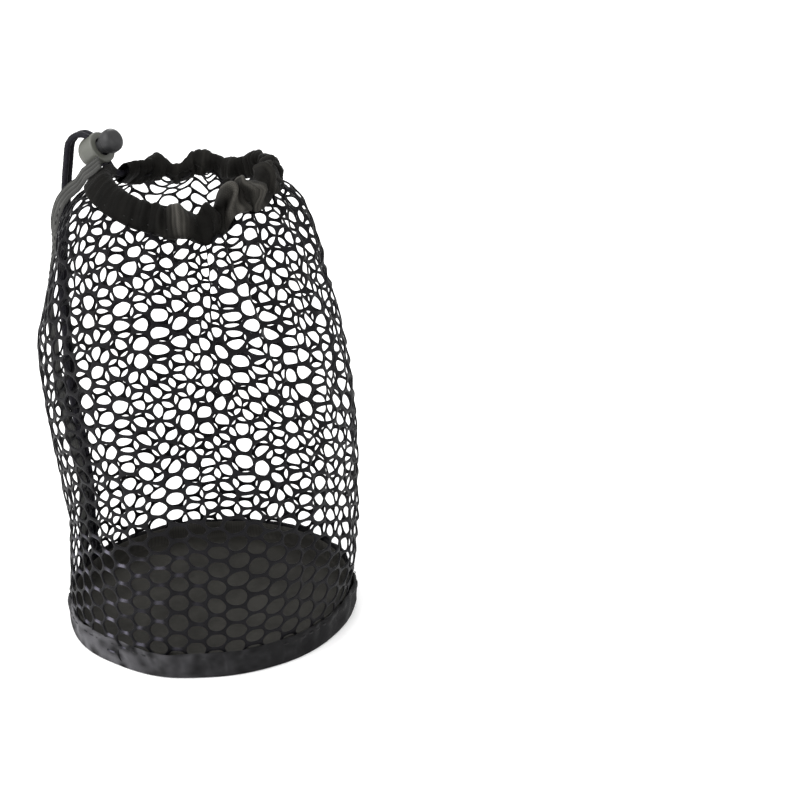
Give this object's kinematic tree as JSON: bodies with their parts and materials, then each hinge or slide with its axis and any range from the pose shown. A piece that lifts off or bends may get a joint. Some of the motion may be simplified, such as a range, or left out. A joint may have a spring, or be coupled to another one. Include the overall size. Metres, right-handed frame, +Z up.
{
  "type": "mesh ball bag",
  "caption": "Round-bottomed netting bag for small balls, with a stiff bound base, a gathered mouth in a drawcord casing and a spring cord lock on the cord's two strands.",
  "frame": {"origin": "centre of the round base, on the plane that the bag stands on", "axes": "+Z up through the mouth; -Y is the front of the bag, with the mouth's lower side; the side seam, the cord and the cord lock are on the -X side, a little to the back"},
  "size_m": [0.1458, 0.1448, 0.2379],
  "materials": {
    "base_fabric": "matte woven",
    "stiff_board": "matte",
    "lining_fabric": "matte woven",
    "binding_tape": "matte ribbed tape",
    "thread": "satin thread",
    "netting": "satin knitted polyester",
    "seam_tape": "satin ribbed tape",
    "casing_fabric": "matte woven",
    "cord": "braided",
    "lock_barrel": "satin moulded",
    "lock_plunger": "satin moulded",
    "spring_steel": "drawn wire"
  },
  "bodies": {
    "bag": {"base_panel": "base_fabric", "base_stiffener": "stiff_board", "base_lining": "lining_fabric", "base_binding": "binding_tape", "base_hem_stitches": "thread", "base_cord_loop": "binding_tape", "mesh_wall": "netting", "side_seam_tape": "seam_tape", "seam_stitches": "thread", "rim_casing": "casing_fabric", "casing_stitches": "thread", "exit_bartacks": "thread", "drawcord_in_casing": "cord", "drawcord_strand_front": "cord", "drawcord_strand_back": "cord", "drawcord_end_knot": "cord", "drawcord_end_loop": "cord", "drawcord_tails": "cord"},
    "cord_lock": {"cord_lock_barrel": "lock_barrel", "cord_lock_spring": "spring_steel"},
    "lock_plunger": {"cord_lock_plunger": "lock_plunger"}
  },
  "joints": [
    {"name": "lock_slide", "type": "slide", "parent": "bag", "child": "cord_lock", "axis": [-0.4341, 0.3039, 0.848], "range_m": [0, 0.01], "deforming": ["drawcord_strand_front", "drawcord_strand_back"]},
    {"name": "plunger_press", "type": "slide", "parent": "cord_lock", "child": "lock_plunger", "axis": [-0.6947, 0.4864, -0.5299], "range_m": [0, 0.003], "stiffness_N_per_m": 800, "springref_m": -0.002, "deforming": ["cord_lock_spring"]}
  ]
}
